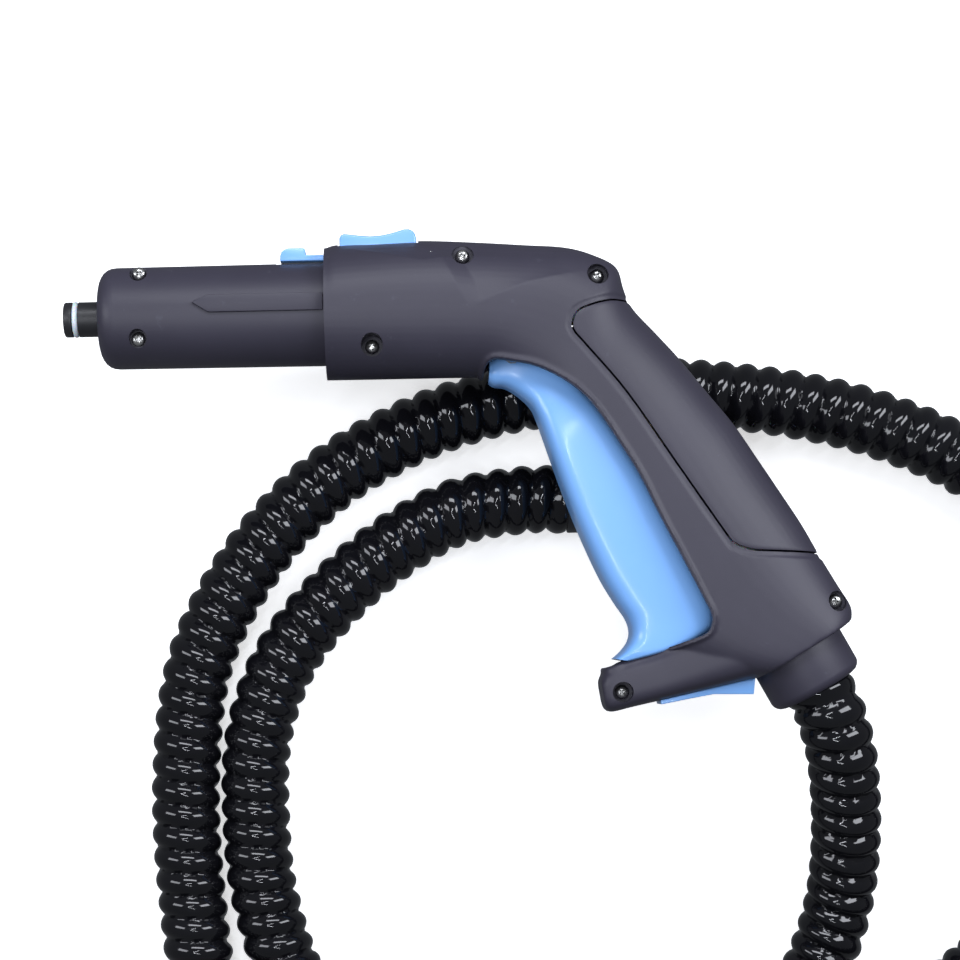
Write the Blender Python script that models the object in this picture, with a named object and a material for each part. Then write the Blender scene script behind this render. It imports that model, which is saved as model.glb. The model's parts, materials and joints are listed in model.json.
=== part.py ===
"""Steam gun handset of a wallpaper steamer, with its corrugated hose.

The gun lies on its side on top of its own hose. Shapes are drawn in the gun's own millimetres:
u runs along the barrel from the nozzle's tip to the rear, v runs up, and z runs out of the joint
between the two shell halves, away from the table. The part's frame is the same, in metres, with
its origin at the centre of the gun's box.
"""

import math

import bmesh
import bpy
from mathutils import Matrix, Vector

# Driving dimensions, in millimetres
MM = 0.001
GUN_LENGTH = 274.8
GUN_TOP = 28.2
GUN_BOTTOM = -142.0
CENTRE = Vector((GUN_LENGTH / 2, (GUN_TOP + GUN_BOTTOM) / 2, 0.0))

WALL = 2.3
SPLIT_GAP = 0.15
GROOVE = 0.3
BARREL_START = 12.7
BARREL_RADIUS = 17.9
BARREL_END = 101.8
LIP_RADIUS = 18.3

TRIGGER_PIVOT = (156.0, -17.0)
TRIGGER_PIN_RADIUS = 1.5
LEVER_PIVOT = (128.5, 17.5)
LEVER_PIN_RADIUS = 1.3

VALVE_TOUCH = Vector((195.2, -49.0, 0.0))
VALVE_AXIS = Vector((0.843, 0.537, 0.0)).normalized()
VALVE_SIDE = Vector((0.537, -0.843, 0.0)).normalized()
VALVE_PORT = VALVE_TOUCH + 22.0 * VALVE_AXIS

COLLAR_END = Vector((261.0, -134.6, 0.0))
COLLAR_AXIS = Vector((0.48, -0.877, 0.0)).normalized()
TOE_SOLE = Vector((188.2, -141.1, 0.0))
SOLE_BACK = Vector((51.8, 11.1, 0.0)).normalized()
SOLE_DOWN = Vector((SOLE_BACK.y, -SOLE_BACK.x, 0.0))

HOSE_RADIUS = 12.5
HOSE_END = Vector((176.0, -64.0, -34.2))
TUBE_RADIUS = 4.4
TUBE_BORE = 3.3

# Screws: name, place, floor of its recess, recess radius, post radius
BODY_SCREWS = (
    ("screw_body_top", (139.3, 17.5), 11.8, 3.8, 5.2),
    ("screw_body_rear", (185.6, 9.8), 11.0, 3.8, 5.2),
    ("screw_body_front", (107.5, -13.3), 14.0, 3.8, 5.2),
    ("screw_toe", (191.7, -134.2), 7.4, 3.6, 4.6),
    ("screw_heel", (265.8, -104.3), 10.4, 3.6, 4.8),
)
BARREL_SCREWS = (
    ("screw_barrel_upper", (27.2, 14.1), 7.4, 3.1, 3.9),
    ("screw_barrel_lower", (27.0, -9.0), 12.0, 3.1, 3.9),
)

# The gun's outer skin, as sections from the barrel to the heel:
# a point on the top or rear edge, one on the underside or front edge, half width, squareness
SKIN = (
    ((91.4, 22.9), (91.4, -22.9), 22.9, 2.0),
    ((94.6, 23.9), (94.6, -22.9), 23.0, 2.05),
    ((112.0, 24.5), (110.0, -22.9), 23.0, 2.15),
    ((127.0, 24.7), (124.0, -22.9), 22.9, 2.2),
    ((145.0, 23.7), (137.0, -22.9), 22.6, 2.25),
    ((161.0, 22.5), (146.0, -23.2), 22.2, 2.3),
    ((175.5, 21.3), (152.0, -26.0), 21.7, 2.35),
    ((186.0, 18.1), (157.5, -29.8), 21.3, 2.35),
    ((193.2, 13.8), (162.0, -33.7), 21.2, 2.35),
    ((195.6, 6.0), (164.4, -38.5), 21.2, 2.35),
    ((198.5, -0.6), (166.5, -44.0), 21.2, 2.4),
    ((207.0, -10.0), (169.0, -51.0), 21.2, 2.4),
    ((214.9, -18.9), (173.0, -63.0), 21.2, 2.4),
    ((224.5, -31.0), (176.5, -72.5), 21.2, 2.4),
    ((233.2, -41.9), (180.5, -83.0), 21.2, 2.4),
    ((241.5, -54.5), (185.0, -93.5), 21.2, 2.4),
    ((248.9, -66.0), (190.0, -102.0), 21.2, 2.5),
    ((255.8, -77.0), (196.0, -112.5), 21.2, 2.6),
    ((261.8, -88.1), (206.0, -121.0), 21.2, 2.7),
    ((267.8, -98.6), (219.0, -127.5), 21.2, 2.8),
    ((272.4, -106.6), (231.0, -130.2), 21.2, 2.9),
    ((273.9, -111.0), (238.2, -130.6), 21.0, 3.0),
)
# The toe that guards the fingers, from its tip back into the handle
TOE = (
    ((184.2, -129.8), (185.8, -139.9), 9.5, 3.5),
    ((186.9, -125.6), (188.2, -141.1), 11.0, 3.5),
    ((193.5, -123.0), (196.0, -139.4), 12.2, 3.5),
    ((205.1, -119.5), (205.5, -137.4), 13.8, 3.5),
    ((215.0, -114.0), (217.0, -134.9), 16.0, 3.5),
    ((228.0, -106.0), (230.0, -132.1), 18.6, 3.5),
    ((240.0, -100.0), (240.0, -130.0), 19.0, 3.5),
)
# The trigger: a point on its front, one on its back inside the handle, half width, squareness
TRIGGER = (
    ((148.4, -25.6), (149.2, -20.2), 5.5, 2.4),
    ((150.0, -26.6), (151.6, -18.6), 6.6, 2.4),
    ((153.6, -27.2), (155.5, -17.5), 7.4, 2.4),
    ((157.8, -29.8), (163.0, -18.5), 8.6, 2.5),
    ((162.0, -33.7), (173.5, -24.0), 11.5, 2.6),
    ((164.4, -38.5), (182.5, -31.0), 13.4, 2.6),
    ((168.4, -50.4), (189.5, -40.0), 14.4, 2.6),
    ((174.0, -66.7), (201.0, -58.0), 14.8, 2.6),
    ((179.6, -81.1), (209.5, -73.0), 14.8, 2.6),
    ((185.3, -94.0), (217.5, -88.0), 14.5, 2.6),
    ((190.2, -102.6), (224.0, -103.0), 13.8, 2.6),
    ((194.0, -108.6), (224.0, -109.0), 12.8, 2.6),
    ((195.3, -113.0), (219.0, -113.4), 11.8, 2.6),
    ((194.6, -116.4), (212.0, -116.2), 10.6, 2.5),
    ((192.2, -119.6), (203.0, -119.2), 9.2, 2.4),
    ((188.9, -122.0), (193.0, -122.4), 6.0, 2.2),
)
TRIGGER_OPENING = (
    (147.6, -19.3), (156.3, -19.6), (165.0, -22.0), (173.4, -26.8), (180.2, -32.5), (185.1, -38.7),
    (191.7, -49.0), (198.3, -60.2), (204.8, -73.9), (211.3, -86.7), (218.6, -101.3), (221.5, -107.5),
    (221.8, -111.0), (220.0, -114.5), (213.7, -117.0), (205.1, -119.8), (193.1, -123.3), (186.0, -125.3),
    (150.0, -125.3), (140.0, -60.0), (147.6, -30.0),
)
PANEL_OUTLINE = (
    (196.4, 1.5), (189.4, 0.9), (181.3, -1.4), (177.4, -3.7), (175.8, -7.5), (176.6, -10.7),
    (194.3, -32.1), (227.6, -81.8), (232.1, -85.4), (235.9, -86.5), (239.7, -86.9), (261.8, -87.8),
    (285.0, -88.6), (285.0, 10.0), (200.0, 10.0),
)
BUTTON_OUTLINE = (
    (96.8, 19.4), (96.8, 26.2), (97.8, 26.9), (104.0, 26.2), (111.0, 26.1), (117.0, 27.3),
    (120.6, 28.2), (122.6, 27.6), (123.5, 25.4), (123.5, 19.4),
)
HOOK_OUTLINE = (
    (75.9, 18.3), (76.1, 20.6), (77.2, 22.2), (79.0, 22.8), (84.8, 22.8), (84.8, 20.3),
    (128.5, 20.3), (128.5, 18.2),
)
# The hose's route, from inside the collar to its connector, in the gun's millimetres
HOSE_ROUTE = (
    (254.5, -122.7, 0), (261.0, -134.6, 0), (265.3, -143.6, -0.8), (270, -160, -6), (273, -186, -18.5),
    (272, -212, -30),
    (264, -237, -34.2), (246, -269, -34.2), (217, -300, -34.2), (170, -320, -34.2), (117, -320, -34.2),
    (70, -293, -34.2), (44, -247, -34.2), (37, -204, -34.2), (36, -160, -34.2), (42, -120, -34.2),
    (60, -86, -34.2), (85, -59, -34.2), (112, -42, -34.2), (141, -31, -34.2), (175, -25, -34.2),
    (219, -26, -34.2), (259, -31, -34.2), (293, -40, -34.2), (326, -56, -34.2), (354, -84, -34.2),
    (370, -126, -34.2), (366, -172, -34.2), (345, -215, -33.6), (311, -244, -21.6), (275, -256, -9.6),
    (245, -259, -7.1), (217, -264, -12.8), (184, -274, -24.9), (140, -282, -34.2), (102, -272, -34.2),
    (76, -242, -34.2), (64, -208, -34.2), (61, -175, -34.2), (63, -146, -34.2), (73, -120, -34.2),
    (91, -98, -34.2), (113, -80, -34.2), (136, -68, -34.2), (160, -64, -34.2), (176, -64, -34.2),
)


# Materials: base colour, roughness, metallic
FINISHES = {
    "shell": ((0.035, 0.032, 0.042), 0.48, 0.0),
    "blue": ((0.06, 0.32, 0.83), 0.35, 0.0),
    "hose": ((0.012, 0.012, 0.014), 0.16, 0.0),
    "steel": ((0.72, 0.72, 0.72), 0.25, 1.0),
    "spring": ((0.55, 0.55, 0.56), 0.35, 1.0),
    "silicone": ((0.78, 0.86, 0.92), 0.3, 0.0),
    "brass": ((0.75, 0.57, 0.25), 0.35, 1.0),
    "inner": ((0.02, 0.02, 0.022), 0.55, 0.0),
}


def clear_scene():
    for old in list(bpy.data.objects):
        bpy.data.objects.remove(old, do_unlink=True)


def make_finish(name):
    colour, roughness, metallic = FINISHES[name]
    material = bpy.data.materials.new(name)
    material.use_nodes = True
    shader = material.node_tree.nodes["Principled BSDF"]
    shader.inputs["Base Color"].default_value = (*colour, 1.0)
    shader.inputs["Roughness"].default_value = roughness
    shader.inputs["Metallic"].default_value = metallic
    return material


# Mesh helpers, all in the gun's millimetres


def mesh_of(bm):
    """Turn a bmesh into a mesh whose faces point out."""
    bmesh.ops.recalc_face_normals(bm, faces=bm.faces)
    if bm.calc_volume(signed=True) < 0:
        bmesh.ops.reverse_faces(bm, faces=bm.faces)
    mesh = bpy.data.meshes.new("shape")
    bm.to_mesh(mesh)
    bm.free()
    return mesh


def loft(rings, closed=False):
    """Skin a list of rings of equal length, with end caps unless it closes on itself."""
    bm = bmesh.new()
    rows = [[bm.verts.new(point) for point in ring] for ring in rings]
    count = len(rows[0])
    pairs = list(zip(rows, rows[1:])) + ([(rows[-1], rows[0])] if closed else [])
    for low, high in pairs:
        for k in range(count):
            near = (k + 1) % count
            bm.faces.new((low[k], low[near], high[near], high[k]))
    if not closed:
        bm.faces.new(rows[0][::-1])
        bm.faces.new(rows[-1])
    return mesh_of(bm)


def section_ring(section, count, shrink=0.0):
    """One superellipse across the gun, drawn between two points of its outline."""
    top, bottom, half_width, power = section
    top, bottom = Vector((*top, 0.0)), Vector((*bottom, 0.0))
    centre = (top + bottom) / 2
    arm = top - centre
    arm = arm * ((arm.length - shrink) / arm.length)
    ring = []
    for k in range(count):
        angle = 2 * math.pi * k / count
        c, s = math.cos(angle), math.sin(angle)
        along = math.copysign(abs(c) ** (2 / power), c)
        across = math.copysign(abs(s) ** (2 / power), s)
        ring.append(centre + along * arm + Vector((0, 0, across * (half_width - shrink))))
    return ring


def skin(sections, count=20, shrink=0.0):
    return loft([section_ring(section, count, shrink) for section in sections])


def prism(outline, low, high):
    """An outline in u and v, drawn out from low to high in z."""
    return loft([[Vector((u, v, z)) for u, v in outline] for z in (low, high)])


def box(low, high):
    outline = ((low[0], low[1]), (high[0], low[1]), (high[0], high[1]), (low[0], high[1]))
    return prism(outline, low[2], high[2])


def frame_about(axis):
    """Two directions square to an axis and to each other."""
    axis = Vector(axis).normalized()
    helper = Vector((0, 0, 1)) if abs(axis.z) < 0.9 else Vector((1, 0, 0))
    first = axis.cross(helper).normalized()
    return first, axis.cross(first)


def turned(start, axis, profile, count=20, hollow=True):
    """Turn a profile of (distance along the axis, radius) about the axis through start."""
    start, axis = Vector(start), Vector(axis).normalized()
    first, second = frame_about(axis)
    rings = []
    for along, radius in profile:
        angles = (2 * math.pi * (k + 0.5) / count for k in range(count))
        rings.append(
            [start + axis * along + radius * (first * math.cos(a) + second * math.sin(a)) for a in angles]
        )
    return loft(rings, closed=hollow)


def rod(start, axis, low, high, radius, count=16):
    return turned(start, axis, ((low, radius), (high, radius)), count, hollow=False)


def smooth_path(points, steps):
    """Catmull-Rom curve through the points, as steps points for each span."""
    points = [Vector(p) for p in points]
    padded = [2 * points[0] - points[1]] + points + [2 * points[-1] - points[-2]]
    path = []
    for before, here, there, after in zip(padded, padded[1:], padded[2:], padded[3:]):
        for k in range(steps):
            t = k / steps
            path.append(
                0.5
                * (
                    2 * here
                    + (there - before) * t
                    + (2 * before - 5 * here + 4 * there - after) * t**2
                    + (3 * here - before - 3 * there + after) * t**3
                )
            )
    return path + [points[-1]]


def evenly(path, count):
    """The same path at count points an equal distance apart."""
    lengths = [0.0]
    for low, high in zip(path, path[1:]):
        lengths.append(lengths[-1] + (high - low).length)
    result, k = [], 0
    for step in range(count):
        want = lengths[-1] * step / (count - 1)
        while k < len(path) - 2 and lengths[k + 1] < want:
            k += 1
        share = (want - lengths[k]) / (lengths[k + 1] - lengths[k])
        result.append(path[k].lerp(path[k + 1], share))
    return result


def swept(path, radius, sides, bore=0.0):
    """A round bar along a path, or a pipe when it has a bore."""
    normal = frame_about(path[1] - path[0])[0]
    outer, inner = [], []
    for k, point in enumerate(path):
        tangent = (path[min(k + 1, len(path) - 1)] - path[max(k - 1, 0)]).normalized()
        normal = (normal - tangent * normal.dot(tangent)).normalized()
        side = tangent.cross(normal)
        turn = [2 * math.pi * n / sides for n in range(sides)]
        outer.append([point + radius * (normal * math.cos(a) + side * math.sin(a)) for a in turn])
        inner.append([point + bore * (normal * math.cos(a) + side * math.sin(a)) for a in turn])
    if not bore:
        return loft(outer)
    return loft(outer + inner[::-1], closed=True)


def coil(centre, low, high, turns, coil_radius, wire, per_turn=10):
    """A spring wound about the z direction."""
    steps = int(turns * per_turn)
    path = []
    for k in range(steps + 1):
        angle = 2 * math.pi * k / per_turn
        ring = Vector((math.cos(angle), math.sin(angle), 0)) * coil_radius
        path.append(Vector((*centre, low + (high - low) * k / steps)) + ring)
    return swept(path, wire, 4)


def turn_onto(mesh, start, axis):
    """Move a mesh wound about z at the origin onto an axis through start."""
    mesh.transform(Vector((0, 0, 1)).rotation_difference(axis).to_matrix().to_4x4())
    mesh.transform(Matrix.Translation(start))
    return mesh


def boolean(mesh, operation, *tools):
    """The mesh after each tool in turn is added to it, taken from it, or kept in common with it.

    The solver is MANIFOLD, because EXACT loses faces of these thin curved shells.
    """
    for tool in tools:
        subject = bpy.data.objects.new("subject", mesh)
        helper = bpy.data.objects.new("helper", tool)
        bpy.context.scene.collection.objects.link(subject)
        bpy.context.scene.collection.objects.link(helper)
        step = subject.modifiers.new("Boolean", "BOOLEAN")
        step.operation = operation
        step.solver = "MANIFOLD"
        step.object = helper
        bpy.context.view_layer.update()
        graph = bpy.context.evaluated_depsgraph_get()
        mesh = bpy.data.meshes.new_from_object(subject.evaluated_get(graph))
        bpy.data.objects.remove(subject, do_unlink=True)
        bpy.data.objects.remove(helper, do_unlink=True)
    return mesh


def cut(mesh, *tools):
    return boolean(mesh, "DIFFERENCE", *tools)


def join(mesh, *tools):
    return boolean(mesh, "UNION", *tools)


def offset_outline(outline, distance):
    """Move every edge of a counter-clockwise outline out by a distance."""
    area = sum(a[0] * b[1] - b[0] * a[1] for a, b in zip(outline, outline[1:] + outline[:1]))
    turn = math.copysign(1.0, area)
    result = []
    for k, point in enumerate(outline):
        here = Vector(point)
        back = (here - Vector(outline[k - 1])).normalized()
        on = (Vector(outline[(k + 1) % len(outline)]) - here).normalized()
        first, second = Vector((back.y, -back.x)) * turn, Vector((on.y, -on.x)) * turn
        mitre = (first + second).normalized()
        result.append(tuple(here + mitre * (distance / mitre.dot(first))))
    return tuple(result)


def place(name, mesh, finish, pivot=(0.0, 0.0, 0.0)):
    """Add the mesh to the part as a named object, in metres, with its origin at the pivot."""
    pivot = Vector((*pivot, 0.0)) if len(pivot) == 2 else Vector(pivot)
    mesh.transform(Matrix.Translation(-pivot))
    mesh.transform(Matrix.Scale(MM, 4))
    mesh.name = name
    mesh.materials.clear()
    mesh.materials.append(finishes[finish])
    mesh.shade_smooth()
    mesh.set_sharp_from_angle(angle=math.radians(38))
    piece = bpy.data.objects.new(name, mesh)
    piece.location = (pivot - CENTRE) * MM
    bpy.context.scene.collection.objects.link(piece)
    return piece


def half_space(side):
    """Everything on the other side of the joint between the halves, with the joint's gap."""
    low, high = sorted((-80.0 * side, SPLIT_GAP * side))
    return box((-20.0, -170.0, low), (320.0, 60.0, high))


def halves(mesh, screws):
    """Split a shell at its joint, and make each half's screw holes."""
    result = {}
    for side in (1, -1):
        tools = [half_space(side)] + screw_cutters(screws, side)
        result[side] = cut(mesh.copy(), *tools)
    return result


# The shells


def gun_core():
    """The room inside the body, handle and toe, with the screw posts and the barrel's rib left in."""
    end = SKIN[-1]
    back = COLLAR_AXIS.to_2d() * (WALL + 0.1)
    inner_end = (tuple(Vector(end[0]) - back), tuple(Vector(end[1]) - back), end[2], end[3])
    inside = skin(SKIN[1:-1] + (inner_end,), 16, WALL)
    room = join(inside, skin(TOE[2:], 16, WALL))
    posts = [rod((*spot, 0), (0, 0, 1), -30, 30, post, 12) for _, spot, _, _, post in BODY_SCREWS]
    rib = turned((0, 0, 0), (1, 0, 0), ((99.5, 18.5), (99.5, 27.0), (101.2, 27.0), (101.2, 18.5)), 28)
    return cut(room, *posts, rib)


def gun_skin():
    outer = join(skin(SKIN), skin(TOE, 16))
    sole = TOE_SOLE + SOLE_BACK * 27.0 - SOLE_DOWN * 1.0
    corners = ((-9.6, -3), (9.6, -3), (9.6, 5), (-9.6, 5))
    lock_slot = tuple((sole + SOLE_BACK * s + SOLE_DOWN * d).to_2d() for s, d in corners)
    return cut(
        outer,
        gun_core(),
        rod((0, 0, 0), (1, 0, 0), 80, 96, LIP_RADIUS, 32),
        prism(TRIGGER_OPENING, -40, 40),
        box((147.3, -28.0, -10.2), (166.0, -12.4, 10.2)),
        rod((*TRIGGER_PIVOT, 0), (0, 0, 1), -13.1, 13.1, TRIGGER_PIN_RADIUS + 0.35),
        rod((*LEVER_PIVOT, 0), (0, 0, 1), -15.7, 15.7, LEVER_PIN_RADIUS + 0.35),
        box((96.1, 15.0, -8.3), (124.2, 40.0, 8.3)),
        box((80.0, 10.0, -5.3), (102.0, 21.4, 5.3)),
        rod(COLLAR_END, COLLAR_AXIS, -18.0, 8.0, 17.2, 24),
        prism(lock_slot, -3.4, 3.4),
    )


def screw_cutters(screws, side):
    """Recess and hole for each screw in the near half, and the pilot hole in the far half."""
    cutters = []
    for _, spot, floor, recess, _ in screws:
        if side > 0:
            cutters.append(rod((*spot, 0), (0, 0, 1), floor, 40.0, recess, 16))
            cutters.append(rod((*spot, 0), (0, 0, 1), -2.0, floor + 1.0, 1.5, 10))
        else:
            cutters.append(rod((*spot, 0), (0, 0, 1), -6.0, 2.0, 1.5, 10))
    return cutters


def make_body_shells():
    whole = gun_skin()
    panel_cutter = prism(PANEL_OUTLINE, -40, 40)
    panel_keep = prism(offset_outline(PANEL_OUTLINE, -GROOVE), -40, 40)
    panel = boolean(whole.copy(), "INTERSECT", panel_keep)
    place("rear_grip_panel", panel, "shell")
    names = {1: "body_shell_near", -1: "body_shell_far"}
    for side, half in halves(cut(whole, panel_cutter), BODY_SCREWS).items():
        place(names[side], half, "shell")


def make_barrel_shells():
    profile = (
        (BARREL_START, 6.6), (BARREL_START, 12.5), (13.8, 15.2), (15.4, 16.9), (17.8, 17.55),
        (96.0, BARREL_RADIUS), (96.0, 19.9), (99.1, 19.9), (99.1, BARREL_RADIUS),
        (BARREL_END, BARREL_RADIUS), (BARREL_END, 15.6), (20.9, 15.3), (20.9, 5.4), (19.4, 5.4),
        (19.4, 11.0), (16.6, 11.0), (16.6, 6.6),
    )
    barrel = turned((0, 0, 0), (1, 0, 0), profile, 32)
    inside = rod((0, 0, 0), (1, 0, 0), 20.0, 32.0, 16.2, 32)
    posts = [rod((*spot, 0), (0, 0, 1), -20, 20, post, 12) for _, spot, _, _, post in BARREL_SCREWS]
    posts = [boolean(post, "INTERSECT", inside.copy()) for post in posts]
    rail_outline = ((47.0, 2.0), (51.0, -1.0), (91.0, -1.0), (91.0, 5.0), (51.0, 5.0))
    rails = [prism(rail_outline, 16.0, 18.9), prism(rail_outline, -18.9, -16.0)]
    hook_slot = box((74.4, 12.0, -5.3), (110.0, 25.0, 5.3))
    button_room = box((95.5, 17.25, -8.2), (110.0, 25.0, 8.2))
    barrel = cut(join(barrel, *posts, *rails), hook_slot, button_room)
    names = {1: "barrel_shell_near", -1: "barrel_shell_far"}
    for side, half in halves(barrel, BARREL_SCREWS).items():
        place(names[side], half, "shell")


def make_screws():
    for name, spot, floor, _, _ in BODY_SCREWS + BARREL_SCREWS:
        profile = (
            (-5.4, 0.5), (-4.4, 1.1), (floor + 0.3, 1.1), (floor + 0.3, 2.45), (floor + 1.3, 2.4),
            (floor + 2.1, 1.3),
        )
        place(name, turned((*spot, 0), (0, 0, 1), profile, 10, hollow=False), "steel")


# The nozzle end


def make_spigot():
    profile = (
        (0.0, 2.6), (0.0, 5.2), (0.8, 6.1), (2.8, 6.1), (2.8, 4.2), (5.2, 4.2), (5.2, 6.1),
        (16.9, 6.1), (16.9, 10.5), (19.1, 10.5), (19.1, 3.0), (33.0, 3.0), (33.0, 1.9), (6.0, 1.9),
    )
    place("nozzle_spigot", turned((0, 0, 0), (1, 0, 0), profile, 18), "inner")
    ring = [(4.0 + 0.9 * math.cos(a), 5.2 + 0.9 * math.sin(a)) for a in (k * math.pi / 4 for k in range(8))]
    place("spigot_o_ring", turned((0, 0, 0), (1, 0, 0), ring, 18), "silicone")


# The trigger and the steam valve that it works


def make_trigger():
    body = skin(TRIGGER, 16)
    opened = tuple((front, tuple(Vector(rear) + (Vector(rear) - Vector(front)).normalized() * 7), w, p)
                   for front, rear, w, p in TRIGGER[4:12])
    hollow = cut(skin(opened, 14, 2.2), box((100, -170, -1.5), (300, 20, 1.5)))
    boss = rod((*TRIGGER_PIVOT, 0), (0, 0, 1), -7.0, 7.0, 4.0)
    hole = rod((*TRIGGER_PIVOT, 0), (0, 0, 1), -9.0, 9.0, TRIGGER_PIN_RADIUS + 0.3)
    place("trigger", cut(join(cut(body, hollow), boss), hole), "blue", TRIGGER_PIVOT)
    place("trigger_pin", rod((*TRIGGER_PIVOT, 0), (0, 0, 1), -12.6, 12.6, TRIGGER_PIN_RADIUS, 12), "steel")
    place("trigger_spring", coil(TRIGGER_PIVOT, 7.9, 9.5, 2.5, 2.5, 0.35), "spring")


def make_valve():
    body = turned(
        VALVE_TOUCH, VALVE_AXIS,
        ((8.0, 4.2), (8.0, 6.5), (24.0, 6.5), (24.0, 0.9), (20.0, 0.9), (20.0, 4.2)), 18,
    )
    ports = [rod(VALVE_PORT, side * VALVE_SIDE, 5.6, 11.4, 2.8, 12) for side in (1, -1)]
    place("steam_valve_body", join(body, *ports), "brass")
    plunger = ((0.8, 1.3), (1.3, 2.0), (9.3, 2.0), (9.3, 3.8), (12.0, 3.8))
    pivot = VALVE_TOUCH + VALVE_AXIS * 9.3
    place("valve_plunger", turned(VALVE_TOUCH, VALVE_AXIS, plunger, 14, hollow=False), "steel", pivot)
    spring = coil((0, 0), 12.8, 19.2, 5, 3.0, 0.4, 9)
    place("valve_spring", turn_onto(spring, VALVE_TOUCH, VALVE_AXIS), "spring")


def make_steam_tubes():
    outlet = VALVE_PORT - 7.0 * VALVE_SIDE
    upper = [outlet, outlet - 5 * VALVE_SIDE, (197.0, -11.0, 0), (182.0, -2.0, 0), (162.0, 0.5, 0)]
    upper += [(140.0, 0.3, 0), (110.0, 0, 0), (60.0, 0, 0), (21.4, 0, 0)]
    inlet = VALVE_PORT + 7.0 * VALVE_SIDE
    hose_start = COLLAR_END - 14.2 * COLLAR_AXIS
    lower = [inlet, inlet + 5 * VALVE_SIDE, (231.0, -70.0, 0), (240.5, -93.0, 0)]
    lower += [hose_start - 10 * COLLAR_AXIS, hose_start]
    place("upper_steam_tube", swept(smooth_path(upper, 2), TUBE_RADIUS, 10, TUBE_BORE), "silicone")
    place("lower_steam_tube", swept(smooth_path(lower, 2), TUBE_RADIUS, 10, TUBE_BORE), "silicone")
    band = ((0.0, 4.8), (0.0, 5.7), (4.0, 5.7), (4.0, 4.8))
    places = {
        "valve_outlet_clip": (VALVE_PORT - 7.4 * VALVE_SIDE, -VALVE_SIDE),
        "valve_inlet_clip": (VALVE_PORT + 7.4 * VALVE_SIDE, VALVE_SIDE),
        "spigot_tube_clip": (Vector((33.6, 0, 0)), Vector((1, 0, 0))),
    }
    for name, (start, axis) in places.items():
        place(name, turned(start, axis, band, 12), "spring")


# The quick-release lever on top


def make_release_lever():
    button = prism(BUTTON_OUTLINE, -7.6, 7.6)
    hook = prism(HOOK_OUTLINE, -4.6, 4.6)
    boss = rod((*LEVER_PIVOT, 0), (0, 0, 1), -4.6, 4.6, 3.2)
    hole = rod((*LEVER_PIVOT, 0), (0, 0, 1), -9.0, 9.0, LEVER_PIN_RADIUS + 0.3, 12)
    place("release_lever", cut(join(button, hook, boss), hole), "blue", LEVER_PIVOT)
    place("lever_pin", rod((*LEVER_PIVOT, 0), (0, 0, 1), -15.2, 15.2, LEVER_PIN_RADIUS, 12), "steel")
    place("lever_spring", coil(LEVER_PIVOT, 5.6, 7.4, 3.0, 2.2, 0.32), "spring")


# The trigger lock under the toe


def make_lock_slide():
    def under(back, down):
        return (TOE_SOLE + SOLE_BACK * back + SOLE_DOWN * down).to_2d()

    outline = ((17.1, 0.4), (17.1, 1.3), (35.7, 2.0), (49.2, 5.2), (51.0, 0.4))
    plate = prism([under(*p) for p in outline], -7.5, 7.5)
    tongue = prism([under(*p) for p in ((27.0, 1.0), (35.0, 1.0), (35.0, -4.4), (27.0, -4.4))], -3.0, 3.0)
    head = prism([under(*p) for p in ((27.0, -2.9), (35.0, -2.9), (35.0, -4.9), (27.0, -4.9))], -5.0, 5.0)
    place("lock_slide", join(plate, tongue, head), "blue", under(31.0, 0.0))


# The hose, its collar and its connector


def make_collar():
    profile = (
        (-19.0, 9.5), (-19.0, 17.6), (-17.2, 17.6), (-17.2, 16.8), (-1.6, 16.8), (0.0, 15.6),
        (0.0, 13.5), (-14.0, 13.5), (-14.0, 9.5),
    )
    place("hose_collar", turned(COLLAR_END, COLLAR_AXIS, profile, 24), "shell")


def make_hose():
    path = evenly(smooth_path(HOSE_ROUTE, 8), 72)
    curve = bpy.data.curves.new("hose", "CURVE")
    curve.dimensions = "3D"
    curve.bevel_depth = HOSE_RADIUS * MM
    curve.bevel_resolution = 2
    curve.use_fill_caps = True
    line = curve.splines.new("POLY")
    line.points.add(len(path) - 1)
    for point, spot in zip(line.points, path):
        point.co = (*((spot - CENTRE) * MM), 1.0)
    curve.materials.append(finishes["hose"])
    bpy.context.scene.collection.objects.link(bpy.data.objects.new("hose", curve))


def make_connector():
    body = (
        (0.5, 1.9), (0.5, 12.2), (22.0, 12.2), (24.5, 10.8), (28.0, 8.4), (37.0, 8.4), (37.0, 10.0),
        (39.5, 10.0), (39.5, 6.0), (56.0, 6.0), (56.0, 4.4), (58.2, 4.4), (58.2, 6.0), (62.0, 6.0),
        (63.0, 5.2), (63.0, 1.9),
    )
    place("hose_end_fitting", turned(HOSE_END, (1, 0, 0), body, 16), "inner")
    nut = (
        (29.0, 8.9), (29.0, 11.4), (30.0, 12.2), (51.0, 12.2), (52.0, 11.4), (52.0, 10.5),
        (36.4, 10.5), (36.4, 8.9),
    )
    place("hose_end_nut", turned(HOSE_END, (1, 0, 0), nut, 16), "inner", HOSE_END + Vector((40, 0, 0)))
    ring = [(57.1 + 0.8 * math.cos(a), 5.35 + 0.8 * math.sin(a)) for a in (k * math.pi / 3 for k in range(6))]
    place("hose_end_o_ring", turned(HOSE_END, (1, 0, 0), ring, 16), "silicone")


clear_scene()
finishes = {name: make_finish(name) for name in FINISHES}
make_body_shells()
make_barrel_shells()
make_screws()
make_spigot()
make_trigger()
make_valve()
make_steam_tubes()
make_release_lever()
make_lock_slide()
make_collar()
make_hose()
make_connector()
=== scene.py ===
# %% [markdown]
# # A wallpaper steamer's steam gun and hose
# The gun lies on its side on top of its own corrugated hose, on a white table. Its working
# parts come ready made as a fixed frame. This lesson gives them their looks: smooth moulded
# shells, a blue trigger, cross-head screws and a glossy spiral hose.

# %% Load the frame
import json
import math

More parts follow.
